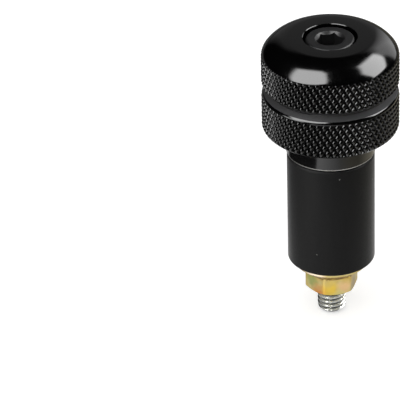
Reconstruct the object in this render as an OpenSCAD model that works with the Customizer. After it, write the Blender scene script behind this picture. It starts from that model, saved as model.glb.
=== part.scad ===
// Bar end weight for a handlebar with a hollow end.
// A knurled head and a plain collar carry a socket screw, which draws a flange nut up
// against a rubber sleeve, so that the sleeve swells and grips the bore of the bar.
// The origin is the centre of the head's back face, and +Z runs out through its front.

/* [Head] */
// Diameter over the knurl
head_d = 28; // [26:0.5:34]
// Length of the head from its back face to its front face
head_l = 20.5; // [19.5:0.5:26]
// Radius of the shoulder's corner, next to the knurl
corner_r = 2.6; // [2.5:0.1:3.2]
// Angle that the corner turns through before it runs into the crown
corner_a = 38; // [38:1:44]
// Radius of the crown, between the corner and the flat front face
crown_r = 7.3; // [6.5:0.1:8]
// Angle between the end of the crown's arc and the flat front face
face_a = 6; // [1:0.5:12]
// Chamfer on the back edge
back_chamfer = 0.7; // [0.6:0.05:1.2]

/* [Knurl] */
// Diamonds counted round the head
knurl_n = 64; // [48:1:72]
// Depth of the knurl below the head's diameter
knurl_depth = 0.4; // [0.25:0.05:0.5]
// Angle of the knurl's lines to the axis
knurl_a = 30; // [25:1:40]

/* [Groove] */
// Height of the middle of the groove above the back face
groove_z = 9.5; // [7:0.1:11]
// Depth of the groove, whose flanks stand at 45 degrees
groove_depth = 1.3; // [0.8:0.05:1.5]
// Width of the groove's floor
groove_floor = 0.1; // [0.1:0.05:0.6]

/* [Screw] */
// Major diameter of the screw's thread
screw_d = 6; // [5:0.5:6.5]
// Length of the screw that stands out past the nut
screw_past = 5.7; // [4:0.1:12]
// Diameter of the screw's head
screw_head_d = 10; // [9:0.5:11]
// Height of the screw's head
screw_head_h = 6; // [5:0.5:7]
// Depth of the screw's head below the front face
screw_recess = 0.3; // [0.2:0.1:2]
// Rounding of the screw head's top edge
screw_edge = 0.5; // [0.2:0.1:0.8]
// Chamfer on the screw's tip
screw_tip = 0.7; // [0.3:0.1:1]
// Width across the flats of the hex socket
socket_af = 5; // [4:0.5:6]
// Depth of the hex socket's flats
socket_depth = 3; // [2:0.1:3.5]
// Width of the bevel round the socket's mouth, measured from its corners
socket_bevel = 0.2; // [0.1:0.05:0.4]

/* [Bar] */
// Bore of the handlebar that the collar and the sleeve fit
bar_bore = 18.5; // [15:0.1:19.5]

/* [Collar] */
// Length of the collar
collar_l = 5.8; // [4:0.1:8]
// Chamfer on the collar's inner edge
collar_chamfer = 0.4; // [0.2:0.05:0.8]

/* [Sleeve] */
// Length of the rubber sleeve when it is slack
sleeve_l = 25; // [20:0.5:27]
// Bore of the rubber sleeve
sleeve_bore = 8; // [7.5:0.1:10]
// Rounding of the sleeve's edges
sleeve_edge = 0.35; // [0.2:0.05:0.6]

/* [Nut] */
// Width across the flats of the nut
nut_af = 9.8; // [9:0.1:11]
// Width across the nut's blunted corners
nut_corner_d = 10.9; // [10.8:0.1:11.3]
// Diameter of the nut's end face inside its chamfer
nut_face_d = 9.2; // [8.6:0.1:9.6]
// Height of the nut with its flange
nut_h = 7.3; // [6.5:0.1:8.5]
// Diameter of the nut's flange
flange_d = 15.4; // [14:0.1:16.5]
// Thickness of the flange's rim
flange_t = 1.1; // [0.8:0.1:1.5]
// Slope of the flange from its rim to the hexagon
flange_a = 41; // [20:1:42]
// Turn of the nut's corners about the axis
nut_turn = 14; // [0:1:59]

/* [Clearances] */
// Gap between the collar and the bar's bore, at the radius
collar_gap = 0.1; // [0.05:0.05:0.3]
// Gap between the slack sleeve and the bar's bore, at the radius
sleeve_gap = 0.25; // [0.1:0.05:0.5]
// Gap between the screw and the plain holes that it passes, at the radius
hole_gap = 0.3; // [0.3:0.05:0.5]
// Gap between the screw and the nut's thread, at the radius
thread_gap = 0.05; // [0.03:0.01:0.1]
// Gap between the screw's head and its counterbore, at the radius
counterbore_gap = 0.5; // [0.3:0.05:0.8]
// Chamfer on the mouth of the counterbore
mouth_chamfer = 0.2; // [0.1:0.05:0.4]

/* [Hidden] */
$fn = 96;
cut = 1;

head_r = head_d / 2;
root_r = head_r - knurl_depth;
// Middles of the arcs of the corner and of the crown
corner_x = head_r - corner_r;
crown_x = corner_x - (crown_r - corner_r) * cos(corner_a);
crown_z = head_l - crown_r * cos(face_a);
corner_z = crown_z + (crown_r - corner_r) * sin(corner_a);
// The groove bottoms of the knurl come out of the corner at this height
runout_z = corner_z + sqrt(pow(corner_r, 2) - pow(root_r - corner_x, 2));

// Half of one diamond, round the head and along it
columns = 2 * knurl_n;
half_lead = PI * head_d / columns / tan(knurl_a);
// The turned core stays this far inside the knurled bands that it fills
core_lap = 0.02;
// Least length left between a band's last row and its lip
row_margin = 0.35;

back_r = head_r - back_chamfer;
back_skin = (back_chamfer - knurl_depth) / 2;
floor_r = head_r - groove_depth;

screw_r = screw_d / 2;
counterbore_r = screw_head_d / 2 + counterbore_gap;
seat_z = head_l - screw_recess - screw_head_h;
hole_r = screw_r + hole_gap;
socket_r = socket_af / 2 / cos(30);
socket_top = seat_z + screw_head_h;

collar_r = bar_bore / 2 - collar_gap;
collar_z = -collar_l;
sleeve_r = bar_bore / 2 - sleeve_gap;
sleeve_z = collar_z - sleeve_l;
nut_z = sleeve_z - nut_h;
tip_z = nut_z - screw_past;
nut_bore_r = screw_r + thread_gap;

// Height of the knurl's surface on one column, from 0 in its grooves to 1 on its points
function ridge(k, z) = let (s = z / half_lead + k) 1 - abs(s - 2 * floor(s / 2) - 1);

// Radius of the head's plain outline
function outline_r(z) =
    z <= corner_z ? head_r : corner_x + sqrt(pow(corner_r, 2) - pow(z - corner_z, 2));

function knurl_r(k, z) = min(root_r + knurl_depth * ridge(k, z), outline_r(z));

function on_column(k, r, z) = [r * cos(k * 360 / columns), r * sin(k * 360 / columns), z];

// A plain ring of points
function ring(r, z) = [for (k = [0:columns - 1]) on_column(k, r, z)];

// A row of points across the knurl
function row(z) = [for (k = [0:columns - 1]) on_column(k, knurl_r(k, z), z)];

// The lip where a 45 degree cone through radius r and height z cuts the knurl
function lip(r, z, up) =
    [for (k = [0:columns - 1])
        let (lip_r = knurl_r(k, z + up * (root_r - r))) on_column(k, lip_r, z + up * (lip_r - r))];

// Heights of the knurl's own rows between two lips
function row_heights(z0, z1) =
    [for (j = [ceil((z0 + row_margin) / half_lead):floor((z1 - row_margin) / half_lead)])
        j * half_lead];

// Two triangles between neighbouring columns, split along the knurl's grooves
function patch(i, k, slant) =
    let (a = i * columns + k, b = i * columns + (k + 1) % columns, c = a + columns, d = b + columns)
    slant ? [[a, c, d], [a, d, b]] : [[a, c, b], [b, c, d]];

// Closed band of knurled surface through a list of rings, lowest first
module band(rings, heights) {
    last = len(rings) - 1;
    middles = [for (i = [0:last - 1]) (heights[i] + heights[i + 1]) / 2];
    skin = [for (i = [0:last - 1], k = [0:columns - 1])
        each patch(i, k, (floor(middles[i] / half_lead) + k) % 2 == 0)];
    floor_face = [for (k = [0:columns - 1]) k];
    top_face = [for (k = [columns - 1:-1:0]) last * columns + k];
    polyhedron([for (r = rings) each r], [floor_face, each skin, top_face]);
}

module lower_band() {
    groove_low = groove_z - groove_floor / 2;
    lip_z = groove_low - groove_depth;
    rows = row_heights(back_chamfer, lip_z);
    band(
        [ring(back_r + back_skin, back_skin), lip(back_r, 0, 1), each [for (z = rows) row(z)],
            lip(floor_r, groove_low, -1), ring(floor_r + core_lap, groove_low)],
        [back_skin, back_skin, each rows, lip_z, lip_z]
    );
}

module upper_band() {
    groove_high = groove_z + groove_floor / 2;
    lip_z = groove_high + groove_depth;
    rows = row_heights(lip_z, runout_z);
    band(
        [ring(floor_r + core_lap, groove_high), lip(floor_r, groove_high, 1),
            each [for (z = rows) row(z)], ring(root_r, runout_z)],
        [lip_z, lip_z, each rows, runout_z]
    );
}

// Half section of the turned core: back edge, groove floor and shoulder
module core_section() {
    polygon([
        [0, 0], [back_r, 0], [back_r + back_skin - core_lap, back_skin],
        [floor_r, back_skin + row_margin], [floor_r, runout_z - row_margin],
        [root_r - core_lap, runout_z - row_margin], [root_r - core_lap, runout_z],
        [0, runout_z]
    ]);
    intersection() {
        square([root_r - core_lap, head_l]);
        union() {
            square([crown_x, head_l]);
            translate([corner_x, corner_z]) circle(corner_r);
            intersection() {
                translate([crown_x, crown_z]) circle(crown_r);
                polygon([
                    [0, crown_z], [crown_x, crown_z], [corner_x, corner_z],
                    [corner_x + crown_r * cos(corner_a), corner_z + crown_r * sin(corner_a)],
                    [0, corner_z + crown_r * sin(corner_a)]
                ]);
            }
        }
    }
}

module knurled_head() {
    color("#141414") difference() {
        union() {
            lower_band();
            upper_band();
            rotate_extrude() core_section();
        }
        translate([0, 0, -cut]) cylinder(r = hole_r, h = head_l);
        translate([0, 0, seat_z]) cylinder(r = counterbore_r, h = head_l);
        translate([0, 0, head_l - mouth_chamfer])
            cylinder(r1 = counterbore_r, r2 = counterbore_r + mouth_chamfer + cut, h = mouth_chamfer + cut);
    }
}

// Half section of the screw, from its tip to the top of its head
module screw_section() {
    polygon([
        [0, tip_z], [screw_r - screw_tip, tip_z], [screw_r, tip_z + screw_tip],
        [screw_r, seat_z], [0, seat_z]
    ]);
    translate([0, seat_z]) {
        square([screw_head_d / 2, screw_head_h - screw_edge]);
        square([screw_head_d / 2 - screw_edge, screw_head_h]);
        translate([screw_head_d / 2 - screw_edge, screw_head_h - screw_edge]) circle(screw_edge);
    }
}

module socket_screw() {
    drill_h = socket_af / 2 * tan(30);
    color("#26282a") difference() {
        rotate_extrude() screw_section();
        translate([0, 0, socket_top - socket_depth])
            cylinder(r = socket_r, h = socket_depth + cut, $fn = 6);
        translate([0, 0, socket_top - socket_depth - drill_h])
            cylinder(r1 = 0, r2 = socket_af / 2, h = drill_h);
        translate([0, 0, socket_top - socket_bevel])
            cylinder(r1 = socket_r, r2 = socket_r + socket_bevel + cut, h = socket_bevel + cut);
    }
}

module collar() {
    color("#1b1b1d") rotate_extrude() polygon([
        [hole_r, 0], [hole_r, collar_z], [collar_r - collar_chamfer, collar_z],
        [collar_r, collar_z + collar_chamfer], [collar_r, 0]
    ]);
}

// Half section of the sleeve: a plain tube with rounded outer edges
module sleeve_section() {
    wall = sleeve_r - sleeve_bore / 2;
    translate([sleeve_bore / 2, sleeve_z]) {
        square([wall - sleeve_edge, sleeve_l]);
        translate([0, sleeve_edge]) square([wall, sleeve_l - 2 * sleeve_edge]);
        for (z = [sleeve_edge, sleeve_l - sleeve_edge])
            translate([wall - sleeve_edge, z]) circle(sleeve_edge);
    }
}

module rubber_sleeve() {
    color("#2b2b2b") rotate_extrude() sleeve_section();
}

// Half section of the nut's flange, with its sloping top turned to the tip of the screw
module flange_section() {
    hex_r = nut_af / 2;
    top_z = sleeve_z - flange_t - (flange_d / 2 - hex_r) * tan(flange_a);
    polygon([
        [0, sleeve_z], [flange_d / 2, sleeve_z], [flange_d / 2, sleeve_z - flange_t],
        [hex_r, top_z], [0, top_z]
    ]);
}

module flange_nut() {
    blunt_r = nut_corner_d / 2;
    face_r = nut_face_d / 2;
    corner_drop = (blunt_r - face_r) * tan(30);
    color("#c89b3c") difference() {
        union() {
            rotate_extrude() flange_section();
            intersection() {
                rotate([0, 0, nut_turn]) translate([0, 0, nut_z])
                    cylinder(r = nut_af / 2 / cos(30), h = nut_h - flange_t / 2, $fn = 6);
                rotate_extrude() polygon([
                    [0, nut_z], [face_r, nut_z], [blunt_r, nut_z + corner_drop],
                    [blunt_r, sleeve_z], [0, sleeve_z]
                ]);
            }
        }
        translate([0, 0, nut_z - cut]) cylinder(r = nut_bore_r, h = nut_h + 2 * cut);
    }
}

knurled_head();
socket_screw();
collar();
rubber_sleeve();
flange_nut();
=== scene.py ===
import bpy
import bmesh
from math import ceil, cos, pi, radians, sin, sqrt, tan
from mathutils import Matrix, Vector


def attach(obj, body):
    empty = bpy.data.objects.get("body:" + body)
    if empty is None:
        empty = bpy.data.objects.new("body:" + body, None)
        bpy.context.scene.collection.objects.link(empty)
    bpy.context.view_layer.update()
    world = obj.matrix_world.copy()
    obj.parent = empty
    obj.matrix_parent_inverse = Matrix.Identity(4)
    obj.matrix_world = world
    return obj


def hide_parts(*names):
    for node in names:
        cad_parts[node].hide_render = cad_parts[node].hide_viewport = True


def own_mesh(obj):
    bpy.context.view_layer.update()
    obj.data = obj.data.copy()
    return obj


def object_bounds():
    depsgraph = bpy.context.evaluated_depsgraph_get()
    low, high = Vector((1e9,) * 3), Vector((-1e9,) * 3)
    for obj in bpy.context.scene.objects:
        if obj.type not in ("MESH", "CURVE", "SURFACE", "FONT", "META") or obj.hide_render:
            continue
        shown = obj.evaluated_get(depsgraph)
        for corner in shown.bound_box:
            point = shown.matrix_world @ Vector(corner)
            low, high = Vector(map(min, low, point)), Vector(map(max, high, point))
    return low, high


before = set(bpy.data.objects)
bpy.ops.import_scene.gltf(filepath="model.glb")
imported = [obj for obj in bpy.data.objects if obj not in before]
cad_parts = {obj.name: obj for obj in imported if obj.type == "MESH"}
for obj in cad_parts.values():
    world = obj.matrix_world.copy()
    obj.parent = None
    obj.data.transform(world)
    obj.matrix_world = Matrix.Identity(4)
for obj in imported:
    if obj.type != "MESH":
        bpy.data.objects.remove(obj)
cad_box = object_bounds()


# Camera: a long lens that looks down on the head from the front. It is panned and
# tilted off the origin, so that the object stands in the right half of the picture.
camera_distance = 0.8
camera_lens = 353.85
camera_reach = 20
camera_elevation = radians(30.26)
camera_pan = radians(-1.909)
camera_tilt = radians(-1.078)
camera_roll = radians(-0.4)


def turned(first, second, angle):
    """Turns two square axes in their own plane, the first one towards the second."""
    return first * cos(angle) + second * sin(angle), second * cos(angle) - first * sin(angle)


place = Vector((0, -camera_distance * cos(camera_elevation), camera_distance * sin(camera_elevation)))
ahead = -place.normalized()
right = Vector((1, 0, 0))
above = right.cross(ahead)
ahead, right = turned(ahead, right, camera_pan)
ahead, above = turned(ahead, above, camera_tilt)
right, above = turned(right, above, camera_roll)
camera = bpy.data.objects.new("camera", bpy.data.cameras.new("camera"))
camera.data.lens = camera_lens
camera.data.clip_end = camera_reach
camera.matrix_world = Matrix.Translation(place) @ Matrix((right, above, -ahead)).transposed().to_4x4()
bpy.context.scene.collection.objects.link(camera)
bpy.context.scene.camera = camera


# Knurled head: one turned steel weight in gloss black. Its outline is spun here with the
# counterbore and the V groove, and the diamonds that the knurling wheels rolled into its
# two bands are laid out by Geometry Nodes and wrapped round it. Sizes are in millimetres.
mm = 0.001
head_r = 14.0
head_top = 20.5
corner_r = 2.6
corner_angle = radians(38)
crown_r = 7.3
face_angle = radians(6)
runout_angle = radians(19)
root_r = 13.6
land_r = 13.85
land_width = 0.12
lip_r = 0.8
groove_z = 9.5
groove_depth = 1.3
groove_floor = 0.1
back_chamfer = 0.7
bore_r = 3.3
counterbore_r = 5.5
seat_z = 14.2
mouth = 0.1
head_sides = 256
lip_steps = 10
corner_steps = 6
crown_steps = 32
head_sharp = radians(28)

knurl_count = 64
knurl_angle = radians(30)
knurl_depth = head_r - root_r
knurl_sink = 0.12
knurl_top = 0.12
knurl_round = 0.8
knurl_pitch = 2 * pi * head_r / knurl_count
knurl_lead = knurl_pitch / tan(knurl_angle)
stud_sides = 8
stud_rings = 5
stud_sharp = radians(60)
spare_rows = 2
core_gap = 0.01
under_skin = 0.004

core_r = root_r - knurl_sink - core_gap
corner_x = head_r - corner_r
crown_x = corner_x - (crown_r - corner_r) * cos(corner_angle)
crown_z = head_top - crown_r * cos(face_angle)
corner_z = crown_z + (crown_r - corner_r) * sin(corner_angle)
runout_r = corner_x + corner_r * cos(runout_angle)
runout_z = corner_z + corner_r * sin(runout_angle)
floor_r = head_r - groove_depth
groove_low = groove_z - groove_floor / 2
groove_high = groove_z + groove_floor / 2
upper_knurl_low = groove_high + root_r - floor_r
lip_x = land_r - lip_r
lip_z = groove_low - (land_r - floor_r) - lip_r * (sqrt(2) - 1)
land_low = lip_z - land_width
back_r = head_r - back_chamfer
lower_knurl_low = root_r - back_r


def arc(x, z, r, start, stop, steps):
    """Points of an arc in a half section, from one angle to another."""
    turns = [start + (stop - start) * i / steps for i in range(steps + 1)]
    return [(x + r * cos(t), z + r * sin(t)) for t in turns]


def spin(mesh, outline, sides):
    """Spins a closed half section in millimetres; a point may be a function of the turn."""
    rings = []
    for point in outline:
        ring = []
        for k in range(sides):
            turn = 2 * pi * k / sides
            x, z = point(turn) if callable(point) else point
            if x == 0 and ring:
                break
            ring.append(mesh.verts.new((x * mm * cos(turn), x * mm * sin(turn), z * mm)))
        rings.append(ring)
    for low, high in zip(rings, rings[1:] + rings[:1]):
        if len(low) == 1 and len(high) == 1:
            continue
        for k in range(sides):
            corners = [low[k % len(low)], low[(k + 1) % len(low)],
                       high[(k + 1) % len(high)], high[k % len(high)]]
            mesh.faces.new(list(dict.fromkeys(corners)))


def section_place(face):
    """Radius and height of a face's middle, in millimetres."""
    middle = face.calc_center_median()
    return Vector((middle.x, middle.y)).length / mm, middle.z / mm


def joined(mesh, other):
    """Moves all of one bmesh into another."""
    carrier = bpy.data.meshes.new("carrier")
    other.to_mesh(carrier)
    other.free()
    mesh.from_mesh(carrier)
    bpy.data.meshes.remove(carrier)


def finished(name, mesh, paints, sharp=radians(25)):
    """Object at the origin from a bmesh, smooth but for edges sharper than the angle, if given."""
    bmesh.ops.recalc_face_normals(mesh, faces=mesh.faces)
    data = bpy.data.meshes.new(name)
    mesh.to_mesh(data)
    mesh.free()
    data.polygons.foreach_set("use_smooth", [True] * len(data.polygons))
    if sharp is not None:
        data.set_sharp_from_angle(angle=sharp)
    for paint in paints:
        data.materials.append(paint)
    made = bpy.data.objects.new(name, data)
    bpy.context.scene.collection.objects.link(made)
    return made


def node(tree, kind, inputs=None, **settings):
    """Adds a node, sets its options, and sets or wires its inputs by name or by number."""
    made = tree.nodes.new(kind)
    for option, value in settings.items():
        setattr(made, option, value)
    for key, value in (inputs or {}).items():
        if isinstance(value, bpy.types.NodeSocket):
            tree.links.new(value, made.inputs[key])
        else:
            made.inputs[key].default_value = value
    return made.outputs[0]


def maths(tree, operation, *values):
    """Sum, product or the like of values that are numbers or wired."""
    return node(tree, "ShaderNodeMath", dict(enumerate(values)), operation=operation)


def spread(tree, value, low, high, start=0.0, stop=1.0, **settings):
    """Maps start to low and stop to high, and holds the value at both ends."""
    return node(tree, "ShaderNodeMapRange", {
        "Value": value, "From Min": start, "From Max": stop, "To Min": low, "To Max": high}, **settings)


def xyz(tree, x=0.0, y=0.0, z=0.0):
    """One point from its x, y and z."""
    return node(tree, "ShaderNodeCombineXYZ", {"X": x, "Y": y, "Z": z})


def parts(tree, vector):
    """The x, y and z of a point or of a direction."""
    return node(tree, "ShaderNodeSeparateXYZ", {0: vector}).node.outputs


def on_object(tree):
    """Where a point lies in its object, in metres."""
    return tree.nodes.new("ShaderNodeTexCoord").outputs["Object"]


def noise(tree, scale, detail=2.0, stretch=(1, 1, 1)):
    """Noise on object coordinates, its scale in lumps to the metre."""
    sized = node(tree, "ShaderNodeMapping", {"Vector": on_object(tree), "Scale": stretch})
    return node(tree, "ShaderNodeTexNoise", {"Vector": sized, "Scale": scale, "Detail": detail})


def lathe_marks(tree):
    """Fine rings that the turning tool leaves round a piece."""
    return noise(tree, scale=3000, detail=3.0, stretch=(0.02, 0.02, 1.0))


def new_paint(name, **sockets):
    """Material with what is the same all over it, and its tree and shader for what isn't."""
    paint = bpy.data.materials.new(name)
    paint.use_nodes = True
    shader = paint.node_tree.nodes["Principled BSDF"]
    for label, value in sockets.items():
        shader.inputs[label.replace("_", " ")].default_value = value
    return paint, paint.node_tree, shader


def roughen(tree, shader, marks, low, high):
    """Roughness from low to high over the middle range of the marks."""
    tree.links.new(spread(tree, marks, low, high, start=0.3, stop=0.7), shader.inputs["Roughness"])


def bump(tree, shader, marks, strength, depth):
    """Relief from marks, its depth in metres."""
    relief = node(tree, "ShaderNodeBump", {"Height": marks, "Strength": strength, "Distance": depth})
    tree.links.new(relief, shader.inputs["Normal"])


gloss_black, tree, shader = new_paint("gloss_black", Base_Color=(0.001, 0.001, 0.0011, 1))
roughen(tree, shader, noise(tree, scale=900), low=0.1, high=0.14)
bump(tree, shader, noise(tree, scale=700), strength=0.03, depth=0.0001)

turned_black, tree, shader = new_paint(
    "turned_black", Base_Color=(0.032, 0.032, 0.033, 1), Specular_IOR_Level=0.1)
marks = lathe_marks(tree)
roughen(tree, shader, marks, low=0.5, high=0.65)
bump(tree, shader, marks, strength=0.25, depth=0.00005)


def tree_with(name, inputs):
    """New Geometry Nodes tree with named inputs, and their sockets to wire from."""
    tree = bpy.data.node_groups.new(name, "GeometryNodeTree")
    tree.interface.new_socket("Geometry", in_out="OUTPUT", socket_type="NodeSocketGeometry")
    for label, value in inputs.items():
        kind = "NodeSocketInt" if isinstance(value, int) else "NodeSocketFloat"
        tree.interface.new_socket(label, in_out="INPUT", socket_type=kind).default_value = value
    return tree, tree.nodes.new("NodeGroupInput").outputs[:len(inputs)]


def baked(name, tree, shape, paint):
    """Ends a Geometry Nodes tree with its shape, painted, and returns the plain mesh as a bmesh."""
    plain = node(tree, "GeometryNodeRealizeInstances", {"Geometry": shape})
    painted = node(tree, "GeometryNodeSetMaterial", {"Geometry": plain, "Material": paint})
    result = tree.nodes.new("NodeGroupOutput")
    tree.links.new(painted, result.inputs[0])
    carrier = bpy.data.objects.new(name, bpy.data.meshes.new(name))
    bpy.context.scene.collection.objects.link(carrier)
    modifier = carrier.modifiers.new(name, "NODES")
    modifier.node_group = tree
    evaluated = carrier.evaluated_get(bpy.context.evaluated_depsgraph_get())
    mesh = bmesh.new()
    mesh.from_mesh(bpy.data.meshes.new_from_object(evaluated))
    bpy.data.objects.remove(carrier)
    return mesh


def stud(tree, pitch, lead, depth, sink, top, roundness):
    """One diamond: a square foot sunk below the roots, which rounds off to a small top."""
    cone = node(tree, "GeometryNodeMeshCone", {
        "Vertices": stud_sides, "Side Segments": stud_rings, "Fill Segments": 1,
        "Radius Top": top, "Radius Bottom": 1.0, "Depth": 1.0}, fill_type="TRIANGLE_FAN")
    x, y, z = parts(tree, node(tree, "GeometryNodeInputPosition"))
    bulge = maths(tree, "SINE", maths(tree, "MULTIPLY", z, pi / 2))
    span = maths(tree, "ADD", maths(tree, "ABSOLUTE", x), maths(tree, "ABSOLUTE", y))
    taper = maths(tree, "SUBTRACT", 1.0, maths(tree, "MULTIPLY", z, maths(tree, "SUBTRACT", 1.0, top)))
    square = maths(tree, "DIVIDE", taper, span)
    rounding = maths(tree, "MULTIPLY", z, maths(tree, "SUBTRACT", roundness, square))
    shrink = maths(tree, "ADD", square, rounding)
    rounded = node(tree, "GeometryNodeSetPosition", {
        "Geometry": cone,
        "Position": xyz(tree, maths(tree, "MULTIPLY", x, shrink),
                        maths(tree, "MULTIPLY", y, shrink), bulge)})
    return node(tree, "GeometryNodeTransform", {
        "Geometry": rounded,
        "Translation": xyz(tree, z=maths(tree, "MULTIPLY", sink, -1.0)),
        "Scale": xyz(tree, maths(tree, "DIVIDE", pitch, 2.0), maths(tree, "DIVIDE", lead, 2.0),
                     maths(tree, "ADD", depth, sink))})


def lattice(tree, count, rows, pitch, lead, first_row):
    """Middles of the diamonds: rows a lead apart, and the same rows again half a step on."""
    width = maths(tree, "MULTIPLY", maths(tree, "SUBTRACT", count, 1.0), pitch)
    height = maths(tree, "MULTIPLY", maths(tree, "SUBTRACT", rows, 1.0), lead)
    grid = node(tree, "GeometryNodeMeshGrid", {
        "Size X": width, "Size Y": height, "Vertices X": count, "Vertices Y": rows})
    straight = node(tree, "GeometryNodeTransform", {
        "Geometry": grid,
        "Translation": xyz(tree, maths(tree, "DIVIDE", width, 2.0),
                           maths(tree, "ADD", first_row, maths(tree, "DIVIDE", height, 2.0)))})
    between = node(tree, "GeometryNodeTransform", {
        "Geometry": straight,
        "Translation": xyz(tree, maths(tree, "DIVIDE", pitch, 2.0), maths(tree, "DIVIDE", lead, 2.0))})
    middles = tree.nodes.new("GeometryNodeJoinGeometry")
    tree.links.new(straight, middles.inputs[0])
    tree.links.new(between, middles.inputs[0])
    return middles.outputs[0]


def diamonds(name, low, high, paint):
    """Flat field of diamonds between two heights: x round the head, y along it, z outwards."""
    tree, sizes = tree_with(name, {
        "Count": knurl_count, "Rows": ceil((high - low) / knurl_lead) + spare_rows,
        "Pitch": knurl_pitch, "Lead": knurl_lead, "First row": (low // knurl_lead) * knurl_lead,
        "Depth": knurl_depth, "Sink": knurl_sink, "Top": knurl_top, "Roundness": knurl_round})
    count, rows, pitch, lead, first_row, depth, sink, top, roundness = sizes
    studs = node(tree, "GeometryNodeInstanceOnPoints", {
        "Points": lattice(tree, count, rows, pitch, lead, first_row),
        "Instance": stud(tree, pitch, lead, depth, sink, top, roundness)})
    return baked(name, tree, studs, paint)


def cut_off(mesh, y, facing):
    """Cuts the flat field off at y along a plane that faces a given y and z, and closes it."""
    everything = mesh.verts[:] + mesh.edges[:] + mesh.faces[:]
    bmesh.ops.bisect_plane(mesh, geom=everything, plane_co=(0, y, 0), plane_no=(0, *facing),
                           clear_outer=True, dist=1e-7)
    bmesh.ops.holes_fill(mesh, edges=[e for e in mesh.edges if e.is_boundary], sides=0)


def shoulder(z):
    """Radius that the diamonds stay within: full below the shoulder, just under its skin on it."""
    if z <= corner_z:
        return head_r
    return corner_x + sqrt(max(corner_r ** 2 - (z - corner_z) ** 2, 0)) - under_skin


def wrap(mesh, flat):
    """Rolls the flat field round the head, under its shoulder, and moves it into the mesh."""
    for vertex in flat.verts:
        turn = vertex.co.x / head_r
        z = vertex.co.y
        r = min(root_r + vertex.co.z, shoulder(z))
        vertex.co = (r * mm * cos(turn), r * mm * sin(turn), z * mm)
    flat.normal_update()
    for edge in flat.edges:
        edge.smooth = edge.calc_face_angle(pi) < stud_sharp
    for face in flat.faces:
        face.material_index = 0
    joined(mesh, flat)


head = bmesh.new()
spin(head, [
    (bore_r, 0), (back_r, 0), (core_r, core_r - back_r),
    (core_r, land_low - (land_r - core_r)), (land_r, land_low),
    *arc(lip_x, lip_z, lip_r, 0, pi / 4, lip_steps),
    (floor_r, groove_low), (floor_r, groove_high), (core_r, groove_high + core_r - floor_r),
    (core_r, runout_z - (runout_r - core_r)),
    *arc(corner_x, corner_z, corner_r, runout_angle, corner_angle, corner_steps),
    *arc(crown_x, crown_z, crown_r, corner_angle, pi / 2 - face_angle, crown_steps)[1:],
    (counterbore_r + mouth, head_top), (counterbore_r, head_top - mouth),
    (counterbore_r, seat_z), (bore_r, seat_z)], head_sides)
for face in head.faces:
    r, z = section_place(face)
    flank = groove_low - (root_r - floor_r) < z < upper_knurl_low
    face.material_index = 1 if flank and floor_r < r < root_r else 0
bmesh.ops.recalc_face_normals(head, faces=head.faces)
for edge in head.edges:
    edge.smooth = edge.calc_face_angle(pi) < head_sharp
# Each band of diamonds: its lowest height, the height of its roots on the 45 degree cone
# that cuts its lower end, and its top.
for name, low, cone_z, high in (
        ("upper_diamonds", groove_high, upper_knurl_low, runout_z),
        ("lower_diamonds", 0, lower_knurl_low, land_low)):
    band = diamonds(name, low, high, gloss_black)
    cut_off(band, cone_z, facing=(-1, 1))
    cut_off(band, high, facing=(1, 0))
    wrap(head, band)
knurled_head = finished("knurled_head_piece", head, [gloss_black, turned_black], sharp=None)
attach(knurled_head, "weight")
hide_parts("knurled_head")


# Socket screw: an M6 cap screw that passes through the whole weight. Its head is black
# and lies in the counterbore, its thread is bright zinc and shows at the other end.
screw_r = 3.0
screw_l = 58.0
screw_head_r = 5.0
screw_head_top = 20.2
screw_edge = 0.5
socket_af = 5.0
socket_depth = 3.0
socket_bevel = 0.2
socket_turn = radians(12)
drill_gap = 0.01
drill_slope = radians(30)
thread_l = 24.0
thread_pitch = 1.0
thread_depth = 0.6
crest_r = 2.93
root_share = 0.12
crest_share = 0.75
clean_depth = 0.25
tip_chamfer = 0.8
screw_sides = 240
screw_edge_steps = 8
thread_sides = 96
rings_per_mm = 16
tip_z = seat_z - screw_l
shank_low = tip_z + thread_l
socket_r = socket_af / 2 / cos(radians(30))
mouth_r = socket_r + socket_bevel
socket_floor = screw_head_top - socket_depth
drill_tip = socket_floor - socket_af / 2 * tan(drill_slope)


def hexagon(across_flats, turn, corner_turn, widest):
    """Radius of a hexagon with blunted corners in one direction."""
    part = (turn - corner_turn) % radians(60) - radians(30)
    return min(across_flats / 2 / cos(part), widest)


def socket_side(turn):
    """Radius of the socket's hexagon."""
    return hexagon(socket_af, turn, socket_turn, socket_r)


def socket_rim(turn):
    """Foot of the bevel that leads into the socket."""
    return socket_side(turn), screw_head_top - (mouth_r - socket_side(turn))


def socket_foot(turn):
    """Edge of the socket's floor."""
    return socket_side(turn), socket_floor


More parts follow.
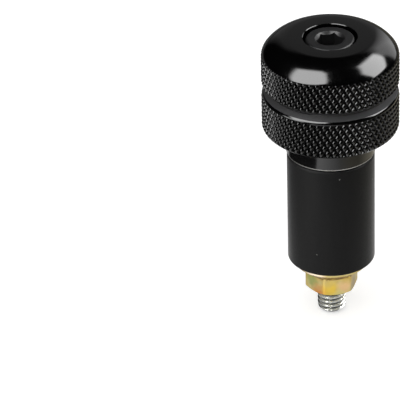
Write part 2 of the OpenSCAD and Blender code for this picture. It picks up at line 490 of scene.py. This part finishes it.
def thread(name, paint):
    """Geometry Nodes cylinder whose side follows a right-hand thread down to the tip."""
    tree, sizes = tree_with(name, {
        "Length": thread_l, "Radius": crest_r, "Depth": thread_depth, "Pitch": thread_pitch,
        "Root share": root_share, "Crest share": crest_share, "Tip": tip_chamfer,
        "Tip height": tip_z, "Round": thread_sides, "Rows": int(thread_l * rings_per_mm)})
    length, radius, depth, pitch, root_end, crest_start, tip, tip_height, around, rows = sizes
    blank = node(tree, "GeometryNodeMeshCylinder", {
        "Vertices": around, "Side Segments": rows, "Fill Segments": 1, "Radius": 1.0, "Depth": length},
        fill_type="TRIANGLE_FAN")
    x, y, z = parts(tree, node(tree, "GeometryNodeInputPosition"))
    height = maths(tree, "ADD", z, maths(tree, "DIVIDE", length, 2.0))
    turns = maths(tree, "DIVIDE", maths(tree, "ARCTAN2", y, x), 2 * pi)
    phase = maths(tree, "FRACT", maths(tree, "SUBTRACT", maths(tree, "DIVIDE", height, pitch), turns))
    peak = maths(tree, "ABSOLUTE", maths(tree, "SUBTRACT", maths(tree, "MULTIPLY", phase, 2.0), 1.0))
    ridge = spread(tree, peak, 0.0, 1.0, root_end, crest_start, interpolation_type="SMOOTHSTEP")
    root = maths(tree, "SUBTRACT", radius, depth)
    grooved = maths(tree, "ADD", root, maths(tree, "MULTIPLY", ridge, depth))
    coned = maths(tree, "ADD", maths(tree, "SUBTRACT", radius, tip), height)
    across = maths(tree, "MINIMUM", grooved, coned)
    shaped = node(tree, "GeometryNodeSetPosition", {
        "Geometry": blank,
        "Position": xyz(tree, maths(tree, "MULTIPLY", x, across), maths(tree, "MULTIPLY", y, across),
                        maths(tree, "ADD", height, tip_height))})
    return baked(name, tree, shaped, paint)


def tinted(tree, share, under, over):
    """Colour that goes from one to another: the Mix node's inputs 6 and 7, and its output 2."""
    mix = node(tree, "ShaderNodeMix", {"Factor": share, 6: under, 7: over}, data_type="RGBA").node
    return mix.outputs[2]


screw_black, tree, shader = new_paint(
    "screw_black", Base_Color=(0.006, 0.006, 0.0065, 1), Specular_IOR_Level=0.35)
roughen(tree, shader, noise(tree, scale=1500), low=0.32, high=0.46)
bump(tree, shader, noise(tree, scale=2500), strength=0.15, depth=0.00005)

bright_zinc, tree, shader = new_paint("bright_zinc", Metallic=1.0)
zinc = (0.8, 0.81, 0.77, 1)
# The thread's roots are coloured a darker grey than its crests.
root_grey = (0.16, 0.16, 0.14, 1)
x, y = parts(tree, on_object(tree))[:2]
off_axis = maths(tree, "SQRT", maths(tree, "ADD", maths(tree, "POWER", x, 2.0),
                                     maths(tree, "POWER", y, 2.0)))
in_roots = spread(tree, off_axis, 1.0, 0.0,
                  start=(crest_r - thread_depth) * mm, stop=(crest_r - clean_depth) * mm)
tree.links.new(tinted(tree, in_roots, zinc, root_grey), shader.inputs["Base Color"])
roughen(tree, shader, noise(tree, scale=900), low=0.17, high=0.27)
bump(tree, shader, noise(tree, scale=1400), strength=0.04, depth=0.00005)

screw = bmesh.new()
spin(screw, [
    (0, shank_low), (screw_r, shank_low), (screw_r, seat_z), (screw_head_r, seat_z),
    *arc(screw_head_r - screw_edge, screw_head_top - screw_edge, screw_edge, 0, pi / 2, screw_edge_steps),
    (mouth_r, screw_head_top), socket_rim, socket_foot,
    (socket_af / 2 - drill_gap, socket_floor), (0, drill_tip)], screw_sides)
cut_thread = thread("screw_thread", bright_zinc)
bmesh.ops.scale(cut_thread, vec=(mm, mm, mm), verts=cut_thread.verts)
for face in cut_thread.faces:
    face.material_index = 1
joined(screw, cut_thread)
socket_screw = finished("socket_screw_piece", screw, [screw_black, bright_zinc], sharp=radians(32))
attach(socket_screw, "screw")
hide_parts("socket_screw")


# Collar: a plain ring between the head and the rubber, turned from steel in gloss black.
# The screw holds it against the head's back, and its chamfered inner edge is worn bright.
collar_d = 18.3
collar_l = 5.8
collar_chamfer = 0.4
worn_edge = 0.12
collar_sides = 256
collar_r = collar_d / 2
edge_z = collar_chamfer - collar_l

collar_black, tree, shader = new_paint("collar_black", Base_Color=(0.006, 0.006, 0.006, 1))
marks = lathe_marks(tree)
roughen(tree, shader, marks, low=0.09, high=0.15)
bump(tree, shader, marks, strength=0.04, depth=0.00005)

bare_steel, tree, shader = new_paint("bare_steel", Base_Color=(0.6, 0.59, 0.56, 1), Metallic=1.0)
roughen(tree, shader, noise(tree, scale=2500), low=0.25, high=0.5)

ring = bmesh.new()
spin(ring, [
    (bore_r, 0), (bore_r, -collar_l), (collar_r - collar_chamfer, -collar_l),
    (collar_r - worn_edge, edge_z - worn_edge), (collar_r, edge_z + worn_edge), (collar_r, 0)],
    collar_sides)
for face in ring.faces:
    r, z = section_place(face)
    face.material_index = 1 if r > collar_r - worn_edge and abs(z - edge_z) < worn_edge else 0
collar = finished("collar_piece", ring, [collar_black, bare_steel])
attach(collar, "weight")
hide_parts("collar")


# Rubber sleeve: a plain moulded tube, matt black. The nut draws its free end up, so it
# shortens towards the collar as the screw turns.
sleeve_d = 18.0
sleeve_l = 25.0
sleeve_bore = 8.0
sleeve_edge = 0.35
sleeve_shoulder = 0.7
sleeve_sides = 192
edge_steps = 6
shoulder_steps = 8
sleeve_r = sleeve_d / 2
sleeve_low = -collar_l - sleeve_l

rubber, tree, shader = new_paint("rubber", Specular_IOR_Level=0.1, Sheen_Weight=0.5, Sheen_Roughness=0.3)
black_rubber = (0.005, 0.005, 0.0052, 1)
grey_rubber = (0.008, 0.008, 0.0077, 1)
dust = (0.2, 0.2, 0.19, 1)
specks_per_metre = 330
speck_size = 0.045
cells = node(tree, "ShaderNodeTexVoronoi", {"Vector": on_object(tree), "Scale": specks_per_metre})
specks = maths(tree, "LESS_THAN", cells, speck_size)
streaks = noise(tree, scale=160, detail=3.0, stretch=(1, 1, 0.15))
clouded = tinted(tree, spread(tree, streaks, 0, 1, start=0.35, stop=0.65), black_rubber, grey_rubber)
tree.links.new(tinted(tree, specks, clouded, dust), shader.inputs["Base Color"])
roughen(tree, shader, noise(tree, scale=2200), low=0.5, high=0.62)
bump(tree, shader, noise(tree, scale=4000, detail=3.0), strength=0.2, depth=0.00008)

tube = bmesh.new()
spin(tube, [
    (sleeve_bore / 2, sleeve_low),
    *arc(sleeve_r - sleeve_edge, sleeve_low + sleeve_edge, sleeve_edge, -pi / 2, 0, edge_steps),
    *arc(sleeve_r - sleeve_shoulder, -collar_l - sleeve_shoulder, sleeve_shoulder,
         0, pi / 2, shoulder_steps),
    (sleeve_bore / 2, -collar_l)], sleeve_sides)
sleeve = finished("rubber_sleeve_piece", tube, [rubber])
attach(sleeve, "weight")
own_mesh(sleeve)
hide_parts("rubber_sleeve")


# Flange nut: a hexagon nut pressed from steel and plated in yellow zinc, which has gone
# patchy; a painted highlight lies on the front of the flange, and painted shade in dark
# brown specks on its sloping underside. It is screwed on, and its flange bears on the rubber.
nut_af = 9.8
nut_corner_r = 5.52
nut_face_r = 4.6
nut_h = 7.3
nut_turn = radians(14)
nut_chamfer = radians(30)
nut_bore_r = 3.05
countersink = 0.3
flange_r = 7.7
flange_t = 1.1
flange_slope = radians(41)
rim_r = 0.3
rim_lift = 0.05
flange_bevel = 0.1
nut_sides = 360
rim_steps = 5
nut_low = sleeve_low - nut_h
rim_low = sleeve_low - flange_t


def nut_side(turn):
    """Radius of the nut's hexagon."""
    return hexagon(nut_af, turn, nut_turn, nut_corner_r)


def nut_foot(turn):
    """Edge of the cone that rounds the corners at the nut's free end."""
    return nut_side(turn), nut_low + (nut_side(turn) - nut_face_r) * tan(nut_chamfer)


def nut_root(turn):
    """Where the hexagon meets the sloping flange."""
    return nut_side(turn), rim_low - (flange_r - nut_side(turn)) * tan(flange_slope)


def distance(tree, place, other):
    """How far apart two places are, in metres."""
    gap = node(tree, "ShaderNodeVectorMath", {0: place, 1: other}, operation="DISTANCE")
    return gap.node.outputs["Value"]


yellow_zinc, tree, shader = new_paint("yellow_zinc", Metallic=1.0)
straw = (0.62, 0.44, 0.12, 1)
pale_straw = (0.64, 0.54, 0.24, 1)
# Dark brown of the painted shade on the flange's sloping underside.
shade_brown = (0.17, 0.07, 0.02, 1)
patch_strength = 0.85
patch_core = 0.3
patch_wander = 2.0 * mm
# Patches of the film's colour: where each has its middle, how far it reaches, and its colour.
# The near-white one on the front of the flange is a painted highlight.
patches = [
    ((-3.8, -2.6, -34.2), 2.3, (0.24, 0.34, 0.09)),
    ((-2.4, -4.4, -36.8), 3.0, (0.74, 0.23, 0.05)),
    ((0.8, -4.3, -35.6), 2.4, (0.84, 0.58, 0.08)),
    ((3.6, -3.4, -35.2), 1.9, (0.80, 0.52, 0.26)),
    ((2.6, -3.8, -37.6), 2.2, (0.66, 0.60, 0.24)),
    ((5.6, -1.0, -35.5), 2.2, (0.42, 0.33, 0.18)),
    ((-4.4, 3.6, -36.0), 2.6, (0.74, 0.44, 0.14)),
    ((2.0, 5.4, -35.0), 2.6, (0.36, 0.42, 0.16)),
    # Painted highlight: the near-white patch on the flange's front left.
    ((-3.4, -6.6, -31.5), 3.8, (1.0, 0.84, 0.70)),
    ((-6.4, -3.0, -31.8), 2.4, (0.70, 0.40, 0.14)),
    ((5.4, 5.0, -31.6), 3.6, (0.72, 0.62, 0.36)),
]
# The band of painted shade on the flange's sloping underside, laid on in dark brown specks:
# how far below the rubber it starts, is full, fades and ends.
shaded_band = (3.6, 3.0, 1.3, 1.0)

where = on_object(tree)
wander = node(tree, "ShaderNodeVectorMath", {
    0: noise(tree, scale=700, detail=3.0).node.outputs["Color"],
    1: (patch_wander, patch_wander, patch_wander)}, operation="MULTIPLY")
strayed = node(tree, "ShaderNodeVectorMath", {0: where, 1: wander}, operation="ADD")
clouds = spread(tree, noise(tree, scale=330), 0, 1, start=0.35, stop=0.65)
coat = tinted(tree, clouds, straw, pale_straw)
for middle, reach, tint in patches:
    gap = distance(tree, strayed, [v * mm for v in middle])
    share = spread(tree, gap, patch_strength, 0.0, start=patch_core * reach * mm, stop=reach * mm)
    coat = tinted(tree, share, coat, (*tint, 1))
height = parts(tree, where)["Z"]
shade_start, shade_full, shade_fade, shade_end = [(sleeve_low - depth) * mm for depth in shaded_band]
on_flange = spread(tree, height, 0.0, 1.0, start=shade_start, stop=shade_full)
under_rim = spread(tree, height, 1.0, 0.0, start=shade_fade, stop=shade_end)
shade_specks = spread(tree, noise(tree, scale=1300, detail=3.0), 0, 1, start=0.44, stop=0.52)
# Painted shade: dark brown specks over the flange's sloping underside, which faces the dark floor.
shade_share = maths(tree, "MULTIPLY", maths(tree, "MULTIPLY", on_flange, under_rim), shade_specks)
tree.links.new(tinted(tree, shade_share, coat, shade_brown), shader.inputs["Base Color"])
roughen(tree, shader, noise(tree, scale=1400), low=0.28, high=0.42)
bump(tree, shader, noise(tree, scale=2500, detail=3.0), strength=0.2, depth=0.00008)

nut_mesh = bmesh.new()
spin(nut_mesh, [
    (nut_bore_r, nut_low + countersink), (nut_bore_r + countersink, nut_low),
    (nut_face_r, nut_low), nut_foot, nut_root,
    *arc(flange_r - rim_r, rim_low + rim_lift, rim_r, flange_slope - pi / 2, 0, rim_steps),
    (flange_r, sleeve_low - flange_bevel), (flange_r - flange_bevel, sleeve_low),
    (nut_bore_r, sleeve_low)], nut_sides)
flange_nut = finished("flange_nut_piece", nut_mesh, [yellow_zinc], sharp=radians(22))
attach(flange_nut, "nut")
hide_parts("flange_nut")


# Floor: a white sheet that runs out of sight and keeps the object's shadow. The gloss sees
# a dark sheet with round pools of light on it, dimmer close by the object and warmer on
# the right. From here on sizes and places are in metres.
floor_half = 6
floor_gap = 0.0001
floor_z = cad_box[0][2] - floor_gap
floor_glow = 0.45
plain_sheet = (0.8, 0.8, 0.8, 1)
dark_sheet = (0.02, 0.02, 0.02, 1)
white = (1, 1, 1, 1)
warm_white = (1.0, 0.92, 0.7, 1)
warm_from = 0.02
warm_full = 0.06
# Pools of light: x and y of the middle, radii where the soft edge starts and ends, brightness.
floor_pools = [
    (-0.045, -0.075, 0.015, 0.110, 1.7),
    (0.010, -0.030, 0.020, 0.085, 1.0),
    (0.060, 0.035, 0.030, 0.090, 0.75),
    (-0.040, 0.056, 0.010, 0.025, 0.9),
    (-0.022, -0.028, 0.012, 0.026, 1.5),
    (0.0, 0.5, 0.420, 0.460, 0.13),
]
# The dim place round the object's foot, in the same terms.
close_by = (0.0, 0.0, 0.006, 0.017, 0.5)

floor_white, tree, shader = new_paint("floor_white", Roughness=0.9, Specular_IOR_Level=0.0)
path = tree.nodes.new("ShaderNodeLightPath").outputs
where = on_object(tree)


def pool(tree, where, x, y, inner, outer, brightness):
    """Round pool of light on the floor, with a soft edge."""
    return spread(tree, distance(tree, where, (x, y, floor_z)), brightness, 0.0, start=inner, stop=outer)


pools = 0.0
for each in floor_pools:
    pools = maths(tree, "MAXIMUM", pool(tree, where, *each), pools)
dimmed = maths(tree, "MULTIPLY", pools, maths(tree, "SUBTRACT", 1.0, pool(tree, where, *close_by)))
in_gloss = maths(tree, "MULTIPLY", path["Is Glossy Ray"], dimmed)
in_view = maths(tree, "MULTIPLY", path["Is Camera Ray"], floor_glow)
tree.links.new(maths(tree, "ADD", in_gloss, in_view), shader.inputs["Emission Strength"])
on_right = spread(tree, parts(tree, where)["X"], 0, 1, start=warm_from, stop=warm_full)
warmth = maths(tree, "MULTIPLY", on_right, path["Is Glossy Ray"])
tree.links.new(tinted(tree, warmth, white, warm_white), shader.inputs["Emission Color"])
sheet = tinted(tree, path["Is Glossy Ray"], plain_sheet, dark_sheet)
tree.links.new(sheet, shader.inputs["Base Color"])

floor_mesh = bmesh.new()
bmesh.ops.create_grid(floor_mesh, x_segments=1, y_segments=1, size=floor_half)
bmesh.ops.translate(floor_mesh, vec=(0, 0, floor_z), verts=floor_mesh.verts)
floor = finished("floor", floor_mesh, [floor_white])


# Black card: a dark block that stands on the floor to the left of the object. Only the
# gloss sees it, as the dark place on the collar's left side.
card_size = (0.03, 0.09, 0.032)
card_place = (-0.058, -0.025, -0.028)

card_black, tree, shader = new_paint(
    "card_black", Base_Color=(0.003, 0.003, 0.003, 1), Roughness=0.5, Specular_IOR_Level=0.1)


def only_in_gloss(prop):
    """Hides a studio prop from the camera and from plain surfaces, and takes its shadow away."""
    prop.visible_camera = False
    prop.visible_shadow = False
    prop.visible_diffuse = False


card_mesh = bmesh.new()
bmesh.ops.create_cube(card_mesh, size=1.0)
bmesh.ops.scale(card_mesh, vec=card_size, verts=card_mesh.verts)
bmesh.ops.translate(card_mesh, vec=card_place, verts=card_mesh.verts)
card = finished("black_card", card_mesh, [card_black])
only_in_gloss(card)


# Room: white to the camera, and an even light on plain surfaces. The gloss sees a dark room
# whose wall glows behind the object, dimly in the middle and brightly towards the right.
room_light = 0.7
wall_half_turn = radians(60)
wall_brightness = 1.5
wall_fade_from = 0.6
wall_fade_to = 0.72
# The wall's glow: shares of the way from its left end to its right one, and the level there.
wall_glow = [(0.25, 0.0), (0.35, 0.12), (0.6, 0.12), (0.74, 1.0), (0.9, 1.0), (0.95, 0.0)]

world = bpy.data.worlds.new("studio")
world.use_nodes = True
bpy.context.scene.world = world
tree = world.node_tree
path = tree.nodes.new("ShaderNodeLightPath").outputs
x, y, z = parts(tree, tree.nodes.new("ShaderNodeTexCoord").outputs["Generated"])
along = spread(tree, maths(tree, "ARCTAN2", x, y), 0, 1, start=-wall_half_turn, stop=wall_half_turn)
wall = node(tree, "ShaderNodeValToRGB", {"Fac": along})
ramp = wall.node.color_ramp
ramp.elements[1].color = (0, 0, 0, 1)
for share, level in wall_glow:
    ramp.elements.new(share).color = (level, level, level, 1)
below_top = spread(tree, z, wall_brightness, 0.0, start=wall_fade_from, stop=wall_fade_to)
room = maths(tree, "MULTIPLY", wall, below_top)
even = maths(tree, "MULTIPLY", path["Is Diffuse Ray"], room_light)
seen = maths(tree, "MAXIMUM", maths(tree, "MAXIMUM", path["Is Camera Ray"], even), room)
sky = tree.nodes["Background"]
tree.links.new(seen, sky.inputs["Strength"])
sky.inputs["Color"].default_value = white


# Soft boxes: three glowing sheets with soft edges, two on the left and a wide one on the
# right. Only the gloss sees them, and they give the head, collar and nut their highlights.
def softbox(name, corners, brightness, away=0.8, soft=0.12):
    """Glowing sheet whose corners are given as bearings and elevations, in degrees."""
    outline = []
    for azimuth, elevation in corners:
        turn = radians(azimuth)
        rise = radians(elevation)
        way = Vector((sin(turn) * cos(rise), -cos(turn) * cos(rise), sin(rise)))
        outline.append(way * away)
    middle = sum(outline, Vector()) / len(outline)
    mesh = bmesh.new()
    glow = mesh.verts.layers.float.new("glow")
    centre = mesh.verts.new(middle)
    inner = [mesh.verts.new(middle.lerp(corner, 1 - soft)) for corner in outline]
    outer = [mesh.verts.new(middle.lerp(corner, 1 + soft)) for corner in outline]
    for vertex in [centre] + inner:
        vertex[glow] = brightness
    for k in range(len(outline)):
        mesh.faces.new((centre, inner[k - 1], inner[k]))
        mesh.faces.new((inner[k - 1], outer[k - 1], outer[k], inner[k]))
    paint, tree, shader = new_paint(name, Base_Color=(0, 0, 0, 1), Emission_Color=(1, 1, 1, 1))
    given = node(tree, "ShaderNodeAttribute", attribute_name="glow").node
    tree.links.new(given.outputs["Fac"], shader.inputs["Emission Strength"])
    box = finished(name, mesh, [paint])
    only_in_gloss(box)


softbox("left_softbox", [
    (-88, 56), (-42, 77), (-14, 72), (-6, 50), (-7, 30), (-22, 17), (-60, -2)], brightness=9.6)
softbox("low_softbox", [
    (-78, 0), (-42, 0), (-42, -16), (-74, -16)], brightness=8.5, away=0.15)
softbox("right_softbox", [
    (143, 46), (125, 33), (107, 22), (88, 16), (72, 8), (71, 35), (68, 47), (98, 64)], brightness=9.6)


# Even light: a wide lamp overhead, a little in front and to the left. It lights plain
# surfaces and makes the soft shadow, and the gloss doesn't see it.
lamp_side = 1.2
lamp_power = 4
lamp_place = Vector((-0.12, -0.32, 0.94))

even_light = bpy.data.lights.new("even_light", "AREA")
even_light.shape = "RECTANGLE"
even_light.size = lamp_side
even_light.size_y = lamp_side
even_light.energy = lamp_power
lamp = bpy.data.objects.new("even_light", even_light)
facing = lamp_place.to_track_quat("Z", "Y").to_matrix().to_4x4()
lamp.matrix_world = Matrix.Translation(lamp_place) @ facing
lamp.visible_glossy = False
bpy.context.scene.collection.objects.link(lamp)


# Colours: shown as they are, with the plain view transform.
bpy.context.scene.view_settings.view_transform = "Standard"
